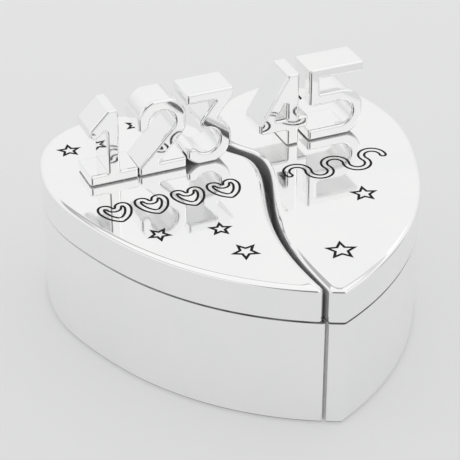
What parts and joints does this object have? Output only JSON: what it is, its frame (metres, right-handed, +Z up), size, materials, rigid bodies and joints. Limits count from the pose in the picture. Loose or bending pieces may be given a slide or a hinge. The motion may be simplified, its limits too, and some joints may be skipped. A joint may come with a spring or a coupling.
{
  "type": "keepsake box",
  "caption": "Heart-shaped silver keepsake box parted by an S-curve into two lidded halves, with numerals standing on the lids.",
  "frame": {"origin": "middle of the footprint, on the surface that the box stands on", "axes": "+Z up; +X to the right across the heart; +Y from the heart's tip to its cleft"},
  "size_m": [0.076, 0.0782, 0.0462],
  "materials": {
    "silver_plate": "polished silver plate",
    "velvet": "dark blue velvet",
    "felt": "black felt",
    "black_enamel": "black enamel in engraved lines",
    "screw_steel": "plain steel"
  },
  "bodies": {
    "left_box": {"left_base": "silver_plate", "left_wall_lining": "velvet", "left_floor_lining": "velvet", "left_base_felt": "felt"},
    "right_box": {"right_base": "silver_plate", "right_wall_lining": "velvet", "right_floor_lining": "velvet", "right_base_felt": "felt"},
    "left_cover": {"left_lid": "silver_plate", "left_lid_lining": "velvet", "left_figure_screws": "screw_steel", "figure_one": "silver_plate", "figure_two": "silver_plate", "figure_three": "silver_plate", "left_lid_stars": "black_enamel", "left_lid_hearts": "black_enamel"},
    "right_cover": {"right_lid": "silver_plate", "right_lid_lining": "velvet", "right_figure_screws": "screw_steel", "figure_four": "silver_plate", "figure_five": "silver_plate", "right_lid_stars": "black_enamel", "right_lid_scroll": "black_enamel"}
  },
  "joints": [
    {"name": "left_lid_lift", "type": "slide", "parent": "left_box", "child": "left_cover", "axis": [0, 0, 1], "range_m": [0, 0.04]},
    {"name": "right_lid_lift", "type": "slide", "parent": "right_box", "child": "right_cover", "axis": [0, 0, 1], "range_m": [0, 0.04]},
    {"name": "halves_part", "type": "slide", "parent": "left_box", "child": "right_box", "axis": [1, 0, 0], "range_m": [0, 0.03]}
  ]
}
